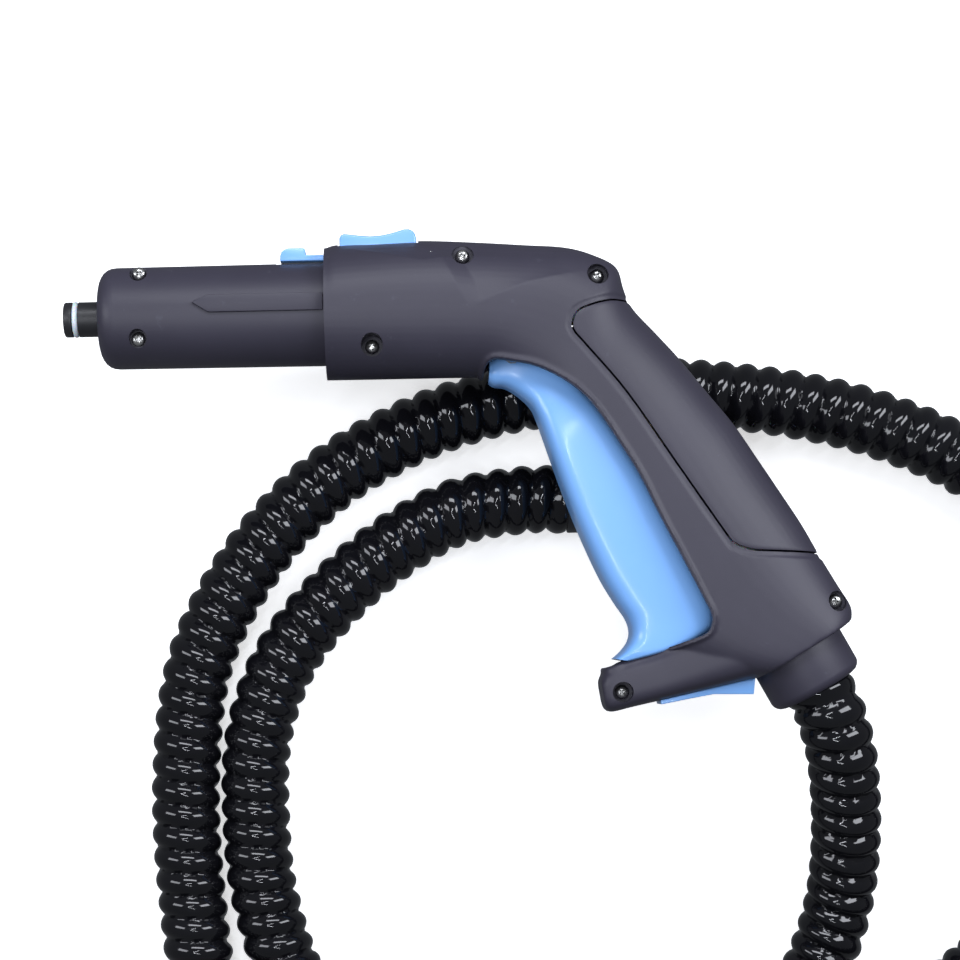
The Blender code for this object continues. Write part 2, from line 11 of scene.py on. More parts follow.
import bmesh
import bpy
import numpy as np
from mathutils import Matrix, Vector

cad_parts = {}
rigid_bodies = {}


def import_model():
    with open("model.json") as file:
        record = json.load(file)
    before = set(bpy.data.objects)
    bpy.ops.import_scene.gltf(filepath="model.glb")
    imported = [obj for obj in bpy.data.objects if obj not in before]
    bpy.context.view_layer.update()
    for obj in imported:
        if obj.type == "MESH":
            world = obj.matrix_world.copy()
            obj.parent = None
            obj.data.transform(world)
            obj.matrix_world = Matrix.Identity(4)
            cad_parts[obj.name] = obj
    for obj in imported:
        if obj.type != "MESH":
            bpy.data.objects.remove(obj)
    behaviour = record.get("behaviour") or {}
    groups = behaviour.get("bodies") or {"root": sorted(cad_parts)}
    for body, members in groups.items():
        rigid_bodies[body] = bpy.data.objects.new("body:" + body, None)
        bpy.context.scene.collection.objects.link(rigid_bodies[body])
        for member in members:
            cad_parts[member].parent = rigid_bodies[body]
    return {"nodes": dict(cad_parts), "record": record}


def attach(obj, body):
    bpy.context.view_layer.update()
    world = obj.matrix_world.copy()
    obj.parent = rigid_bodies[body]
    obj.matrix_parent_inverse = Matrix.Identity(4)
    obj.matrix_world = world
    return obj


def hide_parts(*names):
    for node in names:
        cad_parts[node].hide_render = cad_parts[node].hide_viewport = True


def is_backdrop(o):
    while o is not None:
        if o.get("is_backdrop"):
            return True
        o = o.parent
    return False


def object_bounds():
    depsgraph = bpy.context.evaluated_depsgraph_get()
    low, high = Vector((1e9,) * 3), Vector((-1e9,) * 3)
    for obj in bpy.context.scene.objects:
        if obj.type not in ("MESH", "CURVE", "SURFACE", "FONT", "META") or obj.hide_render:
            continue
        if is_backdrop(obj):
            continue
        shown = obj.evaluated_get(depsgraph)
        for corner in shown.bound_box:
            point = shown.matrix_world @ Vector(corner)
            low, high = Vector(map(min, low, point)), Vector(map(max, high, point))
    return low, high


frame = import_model()
CAD_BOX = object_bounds()
NODES = frame["nodes"]
print("CAD nodes:", len(NODES))

# %% [markdown]
# The gun is drawn in millimetres: u runs along the barrel from the nozzle's tip, v runs up the
# barrel's height and z out of the joint between the two halves. One function turns such a
# place into the frame's metres, so every size below can be read as on a drawing.

# %% The gun's own millimetres
MM = 0.001
GUN_CENTRE = Vector((137.4, -56.9, 0.0))
FLOOR_Z = -46.7
ALONG_BARREL = (1, 0, 0)
OUTWARDS = (0, 0, 1)


def at(u, v, z=0.0):
    return (Vector((u, v, z)) - GUN_CENTRE) * MM


print("nozzle tip", tuple(round(c, 4) for c in at(0, 0)))

# %% [markdown]
# The camera comes first, because it says which side has to look right from close up. It hangs
# straight above the gun on a short telephoto lens, as for a catalogue.

# %% Camera
CAMERA_HEIGHT = 830
CAMERA_SPOT = (118.2, -125.0)
CAMERA_TURN = -0.02094
LENS_LENGTH = 88.9
LENS_SHIFT = (0.073, 0.198)

lens = bpy.data.cameras.new("studio_camera")
lens.lens = LENS_LENGTH
lens.sensor_width = 36.0
lens.shift_x, lens.shift_y = LENS_SHIFT
lens.clip_start = 0.01
camera = bpy.data.objects.new("studio_camera", lens)
camera.location = at(*CAMERA_SPOT, CAMERA_HEIGHT)
camera.rotation_euler = (0.0, 0.0, CAMERA_TURN)
bpy.context.scene.collection.objects.link(camera)
bpy.context.scene.camera = camera
print("camera at", tuple(round(c, 3) for c in camera.location))

# %% [markdown]
# Every finish is a small network of nodes. Written by hand that is long, so two helpers carry
# the lesson: a Wire is a socket that can be added and multiplied like a number, and a Finish
# is a material that any node can be added to. Patterns read Object coordinates, which are the
# frame's own metres, so a grain keeps its real size on every piece.

# %% Shader helpers


class Wire:
    """A socket. Sums and products with it add Math nodes."""

    def __init__(self, finish, socket):
        self.finish = finish
        self.socket = socket

    def calculate(self, operation, *values):
        names = {index: value for index, value in enumerate(values)}
        return self.finish.node("Math", {"operation": operation}, names)

    def __add__(self, other):
        return self.calculate("ADD", self, other)

    def __mul__(self, other):
        return self.calculate("MULTIPLY", self, other)

    __radd__ = __add__
    __rmul__ = __mul__


class Finish:
    """A material with one Principled shader, whose sockets are set or linked by name."""

    def __init__(self, name, **constants):
        self.material = bpy.data.materials.new(name)
        self.material.use_nodes = True
        self.tree = self.material.node_tree
        self.shader = self.tree.nodes["Principled BSDF"]
        for socket, value in constants.items():
            self.set(socket.replace("_", " "), value)
        self.place = self.node("TexCoord", output="Object")

    def node(self, kind, settings=None, values=None, output=0):
        """Add a node: its settings, then the values or links of its sockets. Its output comes back."""
        node = self.tree.nodes.new("ShaderNode" + kind)
        for name, value in (settings or {}).items():
            setattr(node, name, value)
        for name, value in (values or {}).items():
            self.fill(node.inputs[name], value)
        return Wire(self, node.outputs[output])

    def fill(self, socket, value):
        if isinstance(value, Wire):
            self.tree.links.new(value.socket, socket)
        else:
            socket.default_value = value

    def set(self, name, value):
        self.fill(self.shader.inputs[name], value)

    def noise(self, per_metre, detail=2.0, rough=0.5):
        """A cloudy value around a half, with so many features in a metre."""
        values = {"Vector": self.place, "Scale": per_metre, "Detail": detail, "Roughness": rough}
        return self.node("TexNoise", values=values)

    def between(self, value, low, high):
        """0 below low, 1 above high, and smooth in between."""
        settings = {"interpolation_type": "SMOOTHSTEP"}
        return self.node("MapRange", settings, {"Value": value, "From Min": low, "From Max": high})

    def blend(self, share, first, second):
        """One colour turning into another."""
        node = self.tree.nodes.new("ShaderNodeMix")
        node.data_type = "RGBA"
        self.fill(node.inputs["Factor"], share)
        for index, colour in ((6, first), (7, second)):
            self.fill(node.inputs[index], colour if isinstance(colour, Wire) else (*colour, 1.0))
        return Wire(self, node.outputs[2])

    def bump(self, height, millimetres, strength=1.0):
        """Raise the surface by a height of 0 to 1, as so many millimetres."""
        values = {"Strength": strength, "Distance": millimetres * MM, "Height": height}
        self.set("Normal", self.node("Bump", values=values))


print("shader helpers ready")

# %% [markdown]
# The shells are moulded in dark plastic with a fine spark-eroded texture: satin, slightly
# purple, a little rubbed. A ready-made picture of it would be the quick way. Noise at a real
# scale does it without one: a grain a third of a millimetre across, raised by a few hundredths,
# with broad clouds in the colour and the shine.

# %% Moulded shell plastic
SHELL_DARK = (0.026, 0.0235, 0.038)
SHELL_LIGHT = (0.042, 0.0385, 0.06)
SCUFFED = (0.09, 0.09, 0.12)


def make_shell_finish():
    plastic = Finish("moulded_shell")
    clouds = plastic.noise(22, 4.0, 0.6)
    scuffs = plastic.between(plastic.noise(190, 5.0, 0.7), 0.62, 0.74)
    grain = plastic.noise(3200, 2.0)
    tone = plastic.blend(clouds, SHELL_DARK, SHELL_LIGHT)
    plastic.set("Base Color", plastic.blend(scuffs * 0.22, tone, SCUFFED))
    plastic.set("Roughness", 0.4 + 0.1 * clouds + 0.08 * grain)
    plastic.bump(grain + 0.3 * plastic.noise(900, 2.0), 0.035, 0.6)
    return plastic.material


shell_finish = make_shell_finish()
print("shell finish:", len(shell_finish.node_tree.nodes), "nodes")

# %% [markdown]
# The trigger, the release lever and the lock are bright blue and smoother. A thin clear-looking
# shine over a faint flow pattern is what polished polypropylene shows.

# %% Blue plastic
BLUE_DEEP = (0.19, 0.44, 0.9)
BLUE_PALE = (0.23, 0.48, 0.94)


def make_blue_finish():
    plastic = Finish("blue_plastic", Coat_Weight=0.25, Coat_Roughness=0.12, IOR=1.5)
    clouds = plastic.noise(35, 3.0, 0.5)
    plastic.set("Base Color", plastic.blend(clouds, BLUE_DEEP, BLUE_PALE))
    plastic.set("Roughness", 0.26 + 0.1 * plastic.noise(260, 4.0, 0.65))
    plastic.bump(plastic.noise(1400, 2.0), 0.012, 0.35)
    return plastic.material


# %% [markdown]
# The hose is soft black PVC with a high gloss. What tells it from glass is that its gloss is
# uneven: it is clouded a little, and specks of dust leave small dull spots.

# %% Hose PVC


def make_hose_finish():
    vinyl = Finish("hose_vinyl", IOR=1.46)
    clouds = vinyl.noise(60, 3.0, 0.55)
    dust = vinyl.between(vinyl.noise(1300, 4.0, 0.7), 0.66, 0.78)
    colour = vinyl.blend(clouds, (0.003, 0.003, 0.004), (0.006, 0.006, 0.008))
    vinyl.set("Base Color", vinyl.blend(dust * 0.1, colour, (0.06, 0.06, 0.07)))
    vinyl.set("Roughness", 0.05 + 0.06 * clouds + 0.12 * dust)
    vinyl.bump(clouds + 0.5 * vinyl.noise(420, 2.0), 0.04, 0.35)
    return vinyl.material


# %% [markdown]
# The metals differ in how they were made. A screw is zinc plated, so its shine is cloudy. Wire
# and strip are drawn, so theirs is streaked. The valve is turned brass with dull patches.

# %% Metals


def make_metal_finish(name, base, tarnish, rough):
    metal = Finish(name, Metallic=1.0)
    clouds = metal.noise(500, 4.0, 0.6)
    spots = metal.between(metal.noise(1500, 3.0, 0.6), 0.58, 0.7)
    metal.set("Base Color", metal.blend(0.35 * clouds + 0.45 * spots, base, tarnish))
    metal.set("Roughness", rough + 0.16 * clouds + 0.15 * spots)
    metal.bump(metal.noise(4200, 2.0), 0.01, 0.4)
    return metal.material


# %% [markdown]
# Silicone is milky: light goes in and comes out close by. A little subsurface scattering gives
# that. The connector and the spigot are plain black nylon, duller than the hose.

# %% Silicone and black nylon


def make_silicone_finish():
    rubber = Finish("milky_silicone", Subsurface_Weight=0.4, Subsurface_Scale=0.002, IOR=1.42)
    clouds = rubber.noise(240, 3.0)
    rubber.set("Base Color", rubber.blend(clouds, (0.66, 0.74, 0.8), (0.84, 0.9, 0.94)))
    rubber.set("Roughness", 0.26 + 0.14 * clouds)
    rubber.bump(rubber.noise(1800, 2.0), 0.01, 0.4)
    return rubber.material


def make_nylon_finish():
    nylon = Finish("black_nylon")
    clouds = nylon.noise(120, 4.0, 0.6)
    nylon.set("Base Color", nylon.blend(clouds, (0.012, 0.012, 0.014), (0.024, 0.024, 0.028)))
    nylon.set("Roughness", 0.34 + 0.18 * clouds)
    nylon.bump(nylon.noise(2600, 2.0), 0.02, 0.5)
    return nylon.material


finishes = {
    "shell": shell_finish,
    "blue": make_blue_finish(),
    "hose": make_hose_finish(),
    "steel": make_metal_finish("zinc_steel", (0.5, 0.5, 0.49), (0.26, 0.25, 0.24), 0.2),
    "spring": make_metal_finish("spring_wire", (0.56, 0.56, 0.57), (0.36, 0.35, 0.34), 0.26),
    "brass": make_metal_finish("turned_brass", (0.72, 0.53, 0.22), (0.42, 0.3, 0.13), 0.24),
    "silicone": make_silicone_finish(),
    "inner": make_nylon_finish(),
}
print("finishes:", ", ".join(finishes))

# %% [markdown]
# New pieces are shaped in edit mode as by hand. Three habits keep that safe in a script: all
# objects are deselected first, the new piece is the only one edited, and at the end its place
# goes into its mesh, so that the object itself sits at the origin.

# %% Modelling helpers


def deselect_all():
    if bpy.context.object and bpy.context.object.mode != "OBJECT":
        bpy.ops.object.mode_set(mode="OBJECT")
    bpy.ops.object.select_all(action="DESELECT")


def choose(piece):
    """Make a piece the only one that operators act on."""
    deselect_all()
    piece.select_set(True)
    bpy.context.view_layer.objects.active = piece


def tidy_mesh(piece, name):
    """Merge what touches, turn the faces outwards and put the place into the mesh."""
    choose(piece)
    bpy.ops.object.mode_set(mode="EDIT")
    bpy.ops.mesh.select_all(action="SELECT")
    bpy.ops.mesh.remove_doubles(threshold=2e-6)
    bpy.ops.mesh.normals_make_consistent(inside=False)
    bpy.ops.object.mode_set(mode="OBJECT")
    bpy.ops.object.transform_apply(location=True, rotation=True, scale=True)
    piece.name = piece.data.name = name
    return piece


def lofted(name, rings):
    """A closed form through rings of equal length: a circle, extruded and placed ring by ring."""
    deselect_all()
    bpy.ops.mesh.primitive_circle_add(vertices=len(rings[0]), radius=1.0, fill_type="NGON")
    piece = bpy.context.object
    for vertex, spot in zip(piece.data.vertices, rings[0]):
        vertex.co = spot
    bpy.ops.object.mode_set(mode="EDIT")
    bpy.ops.mesh.select_all(action="SELECT")
    for before, after in zip(rings, rings[1:]):
        bpy.ops.mesh.extrude_region_move()
        mesh = bmesh.from_edit_mesh(piece.data)
        moved = {tuple(round(c, 7) for c in old): new for old, new in zip(before, after)}
        for vertex in mesh.verts:
            if vertex.select:
                vertex.co = moved[tuple(round(c, 7) for c in vertex.co)]
        bmesh.update_edit_mesh(piece.data)
    return tidy_mesh(piece, name)


def plate(name, outline, low, high):
    """A flat outline in u and v, extruded from low to high."""
    return lofted(name, [[at(u, v, z) for u, v in outline] for z in (low, high)])


def spun(name, profile, start, axis, sides):
    """A profile of (distance along the axis, radius), spun a full turn about it."""
    axis = Vector(axis).normalized()
    out = axis.cross(Vector((0, 0, 1)) if abs(axis.z) < 0.9 else Vector((0, 1, 0))).normalized()
    spots = [at(*start) + (axis * along + out * radius) * MM for along, radius in profile]
    deselect_all()
    bpy.ops.mesh.primitive_plane_add(size=MM, location=spots[0])
    bpy.ops.object.mode_set(mode="EDIT")
    bpy.ops.mesh.merge(type="CENTER")
    for here, there in zip(spots, spots[1:]):
        bpy.ops.mesh.extrude_region_move(TRANSFORM_OT_translate={"value": there - here})
    bpy.ops.mesh.select_all(action="SELECT")
    bpy.ops.mesh.spin(steps=sides, angle=2 * math.pi, center=at(*start), axis=axis)
    return tidy_mesh(bpy.context.object, name)


def apply_modifier(piece, kind, **settings):
    choose(piece)
    modifier = piece.modifiers.new(kind.title(), kind)
    for name, value in settings.items():
        setattr(modifier, name, value)
    bpy.ops.object.modifier_apply(modifier=modifier.name)
    return piece


def combine(piece, tool, operation="DIFFERENCE"):
    """Cut, join or keep the overlap with a tool, which is used up."""
    apply_modifier(piece, "BOOLEAN", object=tool, operation=operation, solver="MANIFOLD")
    bpy.data.objects.remove(tool, do_unlink=True)
    return piece


def copied(piece, name):
    twin = piece.copy()
    twin.data = piece.data.copy()
    twin.name = twin.data.name = name
    bpy.context.scene.collection.objects.link(twin)
    return twin


def round_edges(piece, width, degrees=35, segments=3):
    """A moulded piece has no sharp edges."""
    return apply_modifier(
        piece, "BEVEL", width=width * MM, segments=segments, limit_method="ANGLE",
        angle_limit=math.radians(degrees), harden_normals=False,
    )


def present(piece, body, finish, *nodes, smooth=35):
    """Shade a finished piece, give it its finish, and let it stand for its CAD nodes."""
    choose(piece)
    bpy.ops.object.shade_smooth_by_angle(angle=math.radians(smooth))
    piece.data.materials.clear()
    piece.data.materials.append(finishes[finish])
    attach(piece, body)
    if nodes:
        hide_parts(*nodes)
    print(f"{piece.name}: {len(piece.data.polygons)} faces")
    return piece


print("modelling helpers ready")

# %% [markdown]
# The hose is 1.6 m of spiral hose, stiff enough to keep wide bends. It leaves the collar, sinks
# to the table, makes a big loop under the gun, humps over itself and ends in its connector
# under the handle. The route's points are listed, and a Catmull-Rom curve joins them.

# %% The hose's route
HOSE_RADIUS = 12.5
HOSE_END = (176.0, -64.0, -34.2)
HOSE_ROUTE = (
    (254.5, -122.7, 0), (261.0, -134.6, 0), (265.3, -143.6, -0.8), (270, -160, -6), (273, -186, -18.5),
    (272, -212, -30),
    (264, -237, -34.2), (246, -269, -34.2), (217, -300, -34.2), (170, -320, -34.2), (117, -320, -34.2),
    (70, -293, -34.2), (44, -247, -34.2), (37, -204, -34.2), (36, -160, -34.2), (42, -120, -34.2),
    (60, -86, -34.2), (85, -59, -34.2), (112, -42, -34.2), (141, -31, -34.2), (175, -25, -34.2),
    (219, -26, -34.2), (259, -31, -34.2), (293, -40, -34.2), (326, -56, -34.2), (354, -84, -34.2),
    (370, -126, -34.2), (366, -172, -34.2), (345, -215, -33.6), (311, -244, -21.6), (275, -256, -9.6),
    (245, -259, -7.1), (217, -264, -12.8), (184, -274, -24.9), (140, -282, -34.2), (102, -272, -34.2),
    (76, -242, -34.2), (64, -208, -34.2), (61, -175, -34.2), (63, -146, -34.2), (73, -120, -34.2),
    (91, -98, -34.2), (113, -80, -34.2), (136, -68, -34.2), (160, -64, -34.2), (176, -64, -34.2),
)


def smooth_path(points, steps):
    """Catmull-Rom curve through the points, as steps points for each span."""
    points = [Vector(p) for p in points]
    padded = [2 * points[0] - points[1]] + points + [2 * points[-1] - points[-2]]
    path = []
    for before, here, there, after in zip(padded, padded[1:], padded[2:], padded[3:]):
        for k in range(steps):
            t = k / steps
            flat = 2 * here + (there - before) * t
            square = 2 * before - 5 * here + 4 * there - after
            cube = 3 * here - before - 3 * there + after
            path.append(0.5 * (flat + square * t**2 + cube * t**3))
    return path + [points[-1]]


def evenly(path, gap):
    """The same path at points about a gap apart."""
    lengths = [0.0]
    for low, high in zip(path, path[1:]):
        lengths.append(lengths[-1] + (high - low).length)
    count = round(lengths[-1] / gap)
    spots, k = [], 0
    for step in range(count + 1):
        want = lengths[-1] * step / count
        while k < len(path) - 2 and lengths[k + 1] < want:
            k += 1
        spots.append(path[k].lerp(path[k + 1], (want - lengths[k]) / (lengths[k + 1] - lengths[k])))
    return spots, lengths[-1]


hose_path, hose_length = evenly(smooth_path(HOSE_ROUTE, 12), 0.84)
print(f"hose: {hose_length:.0f} mm at {len(hose_path)} places")

# %% [markdown]
# The wall is a single rib wound round like a screw thread: broad round crests, narrow valleys.
# An Array of rings bent by a Curve modifier would be quick, but it can't wind. So the surface is
# worked out: round the path, the radius rises and falls with the distance along the hose and
# with a share of a turn.

# %% The hose's spiral wall
RIB_PITCH = 8.2
RIB_DEPTH = 2.3
AROUND = 44


def rib_height(turns):
    """0 in the valley and 1 on the crest: a round crest that takes most of the pitch."""
    return abs(math.sin(math.pi * turns)) ** 0.75


def wound_surface(path):
    points, faces = [], []
    normal = (path[1] - path[0]).cross(Vector((0, 0, 1))).normalized()
    gap = hose_length / (len(path) - 1)
    for k, spot in enumerate(path):
        along = k * gap
        forward = (path[min(k + 1, len(path) - 1)] - path[max(k - 1, 0)]).normalized()
        normal = (normal - forward * normal.dot(forward)).normalized()
        side = forward.cross(normal)
        for n in range(AROUND):
            share = n / AROUND
            rib = rib_height(along / RIB_PITCH + share)
            radius = HOSE_RADIUS - RIB_DEPTH * (1 - rib)
            turn = 2 * math.pi * share
            points.append(at(*(spot + radius * (normal * math.cos(turn) + side * math.sin(turn)))))
    for k in range(len(path) - 1):
        for n in range(AROUND):
            m = (n + 1) % AROUND
            faces.append((k * AROUND + n, k * AROUND + m, (k + 1) * AROUND + m, (k + 1) * AROUND + n))
    last = (len(path) - 1) * AROUND
    faces.append(tuple(reversed(range(AROUND))))
    faces.append(tuple(last + n for n in range(AROUND)))
    return points, faces


def make_hose():
    mesh = bpy.data.meshes.new("steam_hose")
    points, faces = wound_surface(hose_path)
    mesh.from_pydata(points, [], faces)
    hose = bpy.data.objects.new("steam_hose", mesh)
    bpy.context.scene.collection.objects.link(hose)
    return tidy_mesh(hose, "steam_hose")


hose = present(make_hose(), "handset", "hose", "hose", smooth=60)

# %% [markdown]
# The handle, the body and the toe are one moulding, cut in two along the middle. It could be
# sculpted, but then its outline would drift. So it is lofted through sections: each is a
# superellipse between a point on the rear edge and one on the front edge, and a Catmull-Rom
# curve fills the gaps between the sections.

# %% The sections of the moulding
WALL = 2.3
CUT_REACH = 40
BODY_SECTIONS = (
    ((80.0, 22.5), (80.0, -22.9), 22.9, 2.0), ((91.4, 22.9), (91.4, -22.9), 22.9, 2.0),
    ((95.6, 23.9), (95.6, -22.9), 23.0, 2.05), ((112.0, 24.5), (110.0, -22.9), 23.0, 2.15),
    ((127.0, 24.7), (124.0, -22.9), 22.9, 2.2), ((145.0, 23.7), (137.0, -22.9), 22.6, 2.25),
    ((161.0, 22.5), (146.0, -23.2), 22.2, 2.3), ((175.5, 21.3), (152.0, -26.0), 21.7, 2.35),
    ((186.0, 18.1), (157.5, -29.8), 21.3, 2.35), ((193.2, 13.8), (162.0, -33.7), 21.2, 2.35),
    ((195.6, 6.0), (164.4, -38.5), 21.2, 2.35), ((198.5, -0.6), (166.5, -44.0), 21.2, 2.4),
    ((207.0, -10.0), (169.0, -51.0), 21.2, 2.4), ((214.9, -18.9), (173.0, -63.0), 21.2, 2.4),
    ((224.5, -31.0), (176.5, -72.5), 21.2, 2.4), ((233.2, -41.9), (180.5, -83.0), 21.2, 2.4),
    ((241.5, -54.5), (185.0, -93.5), 21.2, 2.4), ((248.9, -66.0), (190.0, -102.0), 21.2, 2.5),
    ((255.8, -77.0), (196.0, -112.5), 21.2, 2.6), ((261.8, -88.1), (206.0, -121.0), 21.2, 2.7),
    ((267.8, -98.6), (219.0, -127.5), 21.2, 2.8), ((271.9, -105.8), (231.0, -130.2), 21.2, 2.9),
    ((272.0, -110.4), (238.2, -130.6), 21.0, 3.0),
)
TOE_SECTIONS = (
    ((184.2, -129.8), (185.8, -139.9), 9.5, 3.5), ((186.9, -125.6), (188.2, -141.1), 11.0, 3.5),
    ((193.5, -123.0), (196.0, -139.4), 12.2, 3.5), ((205.1, -119.5), (205.5, -137.4), 13.8, 3.5),
    ((215.0, -114.0), (217.0, -134.9), 16.0, 3.5), ((228.0, -106.0), (230.0, -132.1), 18.6, 3.5),
    ((240.0, -100.0), (240.0, -130.0), 19.0, 3.5),
)


def section_ring(section, count, shrink):
    """One superellipse across the gun, in metres."""
    top_u, top_v, low_u, low_v, half_width, power = section
    centre = Vector(((top_u + low_u) / 2, (top_v + low_v) / 2, 0.0))
    arm = Vector((top_u, top_v, 0.0)) - centre
    arm = arm * ((arm.length - shrink) / arm.length)
    ring = []
    for k in range(count):
        angle = 2 * math.pi * k / count
        c, s = math.cos(angle), math.sin(angle)
        along = math.copysign(abs(c) ** (2 / power), c)
        across = math.copysign(abs(s) ** (2 / power), s) * (half_width - shrink)
        ring.append(at(*(centre + along * arm + Vector((0, 0, across)))))
    return ring


def moulding(name, sections, steps, count=56, shrink=0.0):
    """Loft the sections, with so many steps from each to the next."""
    flat = [(*top, *bottom, width, power) for top, bottom, width, power in sections]
    return lofted(name, [section_ring(section, count, shrink) for section in smooth_path(flat, steps)])


body = combine(moulding("body", BODY_SECTIONS, 5), moulding("toe", TOE_SECTIONS, 4), "UNION")
print("body loft:", len(body.data.polygons), "faces")

# %% [markdown]
# Where the toe grows out of the handle, a real mould has a soft fillet. A voxel remesh turns
# the union into even small squares, and a few rounds of smoothing then round every inner
# corner by about a millimetre.

# %% Soften the moulding
VOXEL = 0.6
apply_modifier(body, "REMESH", mode="VOXEL", voxel_size=VOXEL * MM)
apply_modifier(body, "SMOOTH", factor=0.5, iterations=9)
print("softened body:", len(body.data.vertices), "vertices")

# %% [markdown]
# Low relief gives the moulding its character: a lip round the trigger's opening, a softened
# edge and a shallow step along the rear panel, and two folds that fall away towards the top.
# Each is a small height that depends on the distance to a line, so the vertices move out or in
# by that much.

# %% Lines of the relief
TRIGGER_OPENING = (
    (147.6, -19.3), (156.3, -19.6), (165.0, -22.0), (173.4, -26.8), (180.2, -32.5), (185.1, -38.7),
    (191.7, -49.0), (198.3, -60.2), (204.8, -73.9), (211.3, -86.7), (218.6, -101.3), (221.5, -107.5),
    (221.8, -111.0), (220.0, -114.5), (213.7, -117.0), (205.1, -119.8), (193.1, -123.3), (184.0, -125.9),
    (150.0, -125.9), (140.0, -60.0), (145.0, -30.0),
)
PANEL_OUTLINE = (
    (196.4, 1.5), (189.4, 0.9), (181.3, -1.4), (177.4, -3.7), (175.8, -7.5), (176.6, -10.7),
    (180.6, -15.5), (194.3, -32.1), (210.8, -56.8), (227.6, -81.8), (229.6, -84.0), (232.1, -85.4),
    (235.9, -86.5), (239.7, -86.9), (250.0, -87.3), (261.8, -87.8), (285.0, -88.6), (300.0, -40.0),
    (285.0, 10.0), (215.0, 4.0),
)
SHOULDER_FOLD = ((141.0, -2.0), (147.9, 1.4), (160.0, 6.3), (170.0, 8.7), (182.0, 11.0))
BUTTON_FOLD = ((97.0, 21.4), (106.0, 19.6), (114.7, 17.6), (125.3, 15.4), (135.9, 16.9), (150.3, 18.0))


def rounded(outline, steps=5):
    """A closed smooth curve through an outline's points."""
    looped = outline[-2:] + outline + outline[:2]
    curve = smooth_path([(*point, 0.0) for point in looped], steps)
    return [point.to_2d() for point in curve[2 * steps : (len(outline) + 2) * steps]]


def distance_to(line, u, v):
    """The distance of each place from a line, how far along it is, and on which side it lies."""
    best, share_of, side_of = np.full(len(u), 1e9), np.zeros(len(u)), np.zeros(len(u))
    for k, (start, end) in enumerate(zip(line, line[1:])):
        run_u, run_v = end[0] - start[0], end[1] - start[1]
        off_u, off_v = u - start[0], v - start[1]
        share = (off_u * run_u + off_v * run_v) / (run_u**2 + run_v**2)
        held = np.clip(share, 0, 1)
        gap = np.hypot(off_u - held * run_u, off_v - held * run_v)
        nearer = gap < best
        best = np.where(nearer, gap, best)
        share_of = np.where(nearer, (k + share) / (len(line) - 1), share_of)
        side_of = np.where(nearer, np.sign(run_u * off_v - run_v * off_u), side_of)
    return best, share_of, side_of


def fold(line, u, v, depth, reach):
    """The surface left of a line falls away, and the fold fades out at both ends."""
    gap, share, side = distance_to(line, u, v)
    fade = np.clip(np.minimum(share, 1 - share) * 5, 0, 1)
    return -np.where(side > 0, depth * (1 - np.exp(-gap / reach)), 0.0) * fade


opening = rounded(TRIGGER_OPENING)
panel_line = rounded(PANEL_OUTLINE)
PANEL_TURN = sum(a.x * b.y - b.x * a.y for a, b in zip(panel_line, panel_line[1:] + panel_line[:1]))
print("opening:", len(opening), "points; panel:", len(panel_line), "points")

# %% Raise the relief
LIP_HEIGHT = 0.9
PANEL_EDGE = 0.55
PANEL_REBATE = 0.4


def raise_relief(piece):
    mesh = piece.data
    count = len(mesh.vertices)
    spots, normals = np.empty(count * 3), np.empty(count * 3)
    mesh.vertices.foreach_get("co", spots)
    mesh.vertices.foreach_get("normal", normals)
    spots, normals = spots.reshape(-1, 3), normals.reshape(-1, 3)
    u = spots[:, 0] / MM + GUN_CENTRE.x
    v = spots[:, 1] / MM + GUN_CENTRE.y
    lip_gap = distance_to(opening + opening[:1], u, v)[0]
    height = LIP_HEIGHT * np.exp(-(((lip_gap - 0.8) / 0.8) ** 2))
    edge_gap, _, side = distance_to(panel_line + panel_line[:1], u, v)
    rebate = PANEL_REBATE * np.clip((1.9 - edge_gap) / 0.5, 0, 1)
    crown = PANEL_EDGE * np.clip(1 - edge_gap / 1.6, 0, 1) ** 1.5
    height -= np.where(side * PANEL_TURN > 0, crown, rebate)
    facing = np.clip(np.abs(normals[:, 2]) * 2.0 - 0.2, 0, 1)
    height += (fold(SHOULDER_FOLD, u, v, 1.5, 5.0) + fold(BUTTON_FOLD, u, v, 0.9, 2.2)) * facing
    mesh.vertices.foreach_set("co", (spots + normals * height[:, None] * MM).ravel())
    mesh.update()


raise_relief(body)
print("relief raised on", len(body.data.vertices), "vertices")

# %% [markdown]
# Now the openings are cut: the room inside, with the screws' posts left standing, the mouth
# for the barrel, the slots for the trigger, the release lever and the lock, and the hole for
# the hose's collar. Each cutter is used once and thrown away.

# %% Cutters
COLLAR_END = Vector((261.0, -134.6, 0.0))
COLLAR_AXIS = Vector((0.48, -0.877, 0.0)).normalized()
TOE_SOLE = Vector((188.2, -141.1, 0.0))
SOLE_BACK = Vector((51.8, 11.1, 0.0)).normalized()
SOLE_DOWN = Vector((SOLE_BACK.y, -SOLE_BACK.x, 0.0))
TRIGGER_PIVOT = (156.0, -17.0)
LEVER_PIVOT = (128.5, 17.5)
FRONT_TRIM = ((60, -60, -60), (91.4, 60, 60))
TONGUE_ROOM = ((147.3, -28.0, -10.2), (166.0, -12.4, 10.2))
BUTTON_SLOT = ((96.1, 15.0, -8.3), (124.2, 40.0, 8.3))
HOOK_SLOT = ((80.0, 10.0, -5.3), (102.0, 21.4, 5.3))
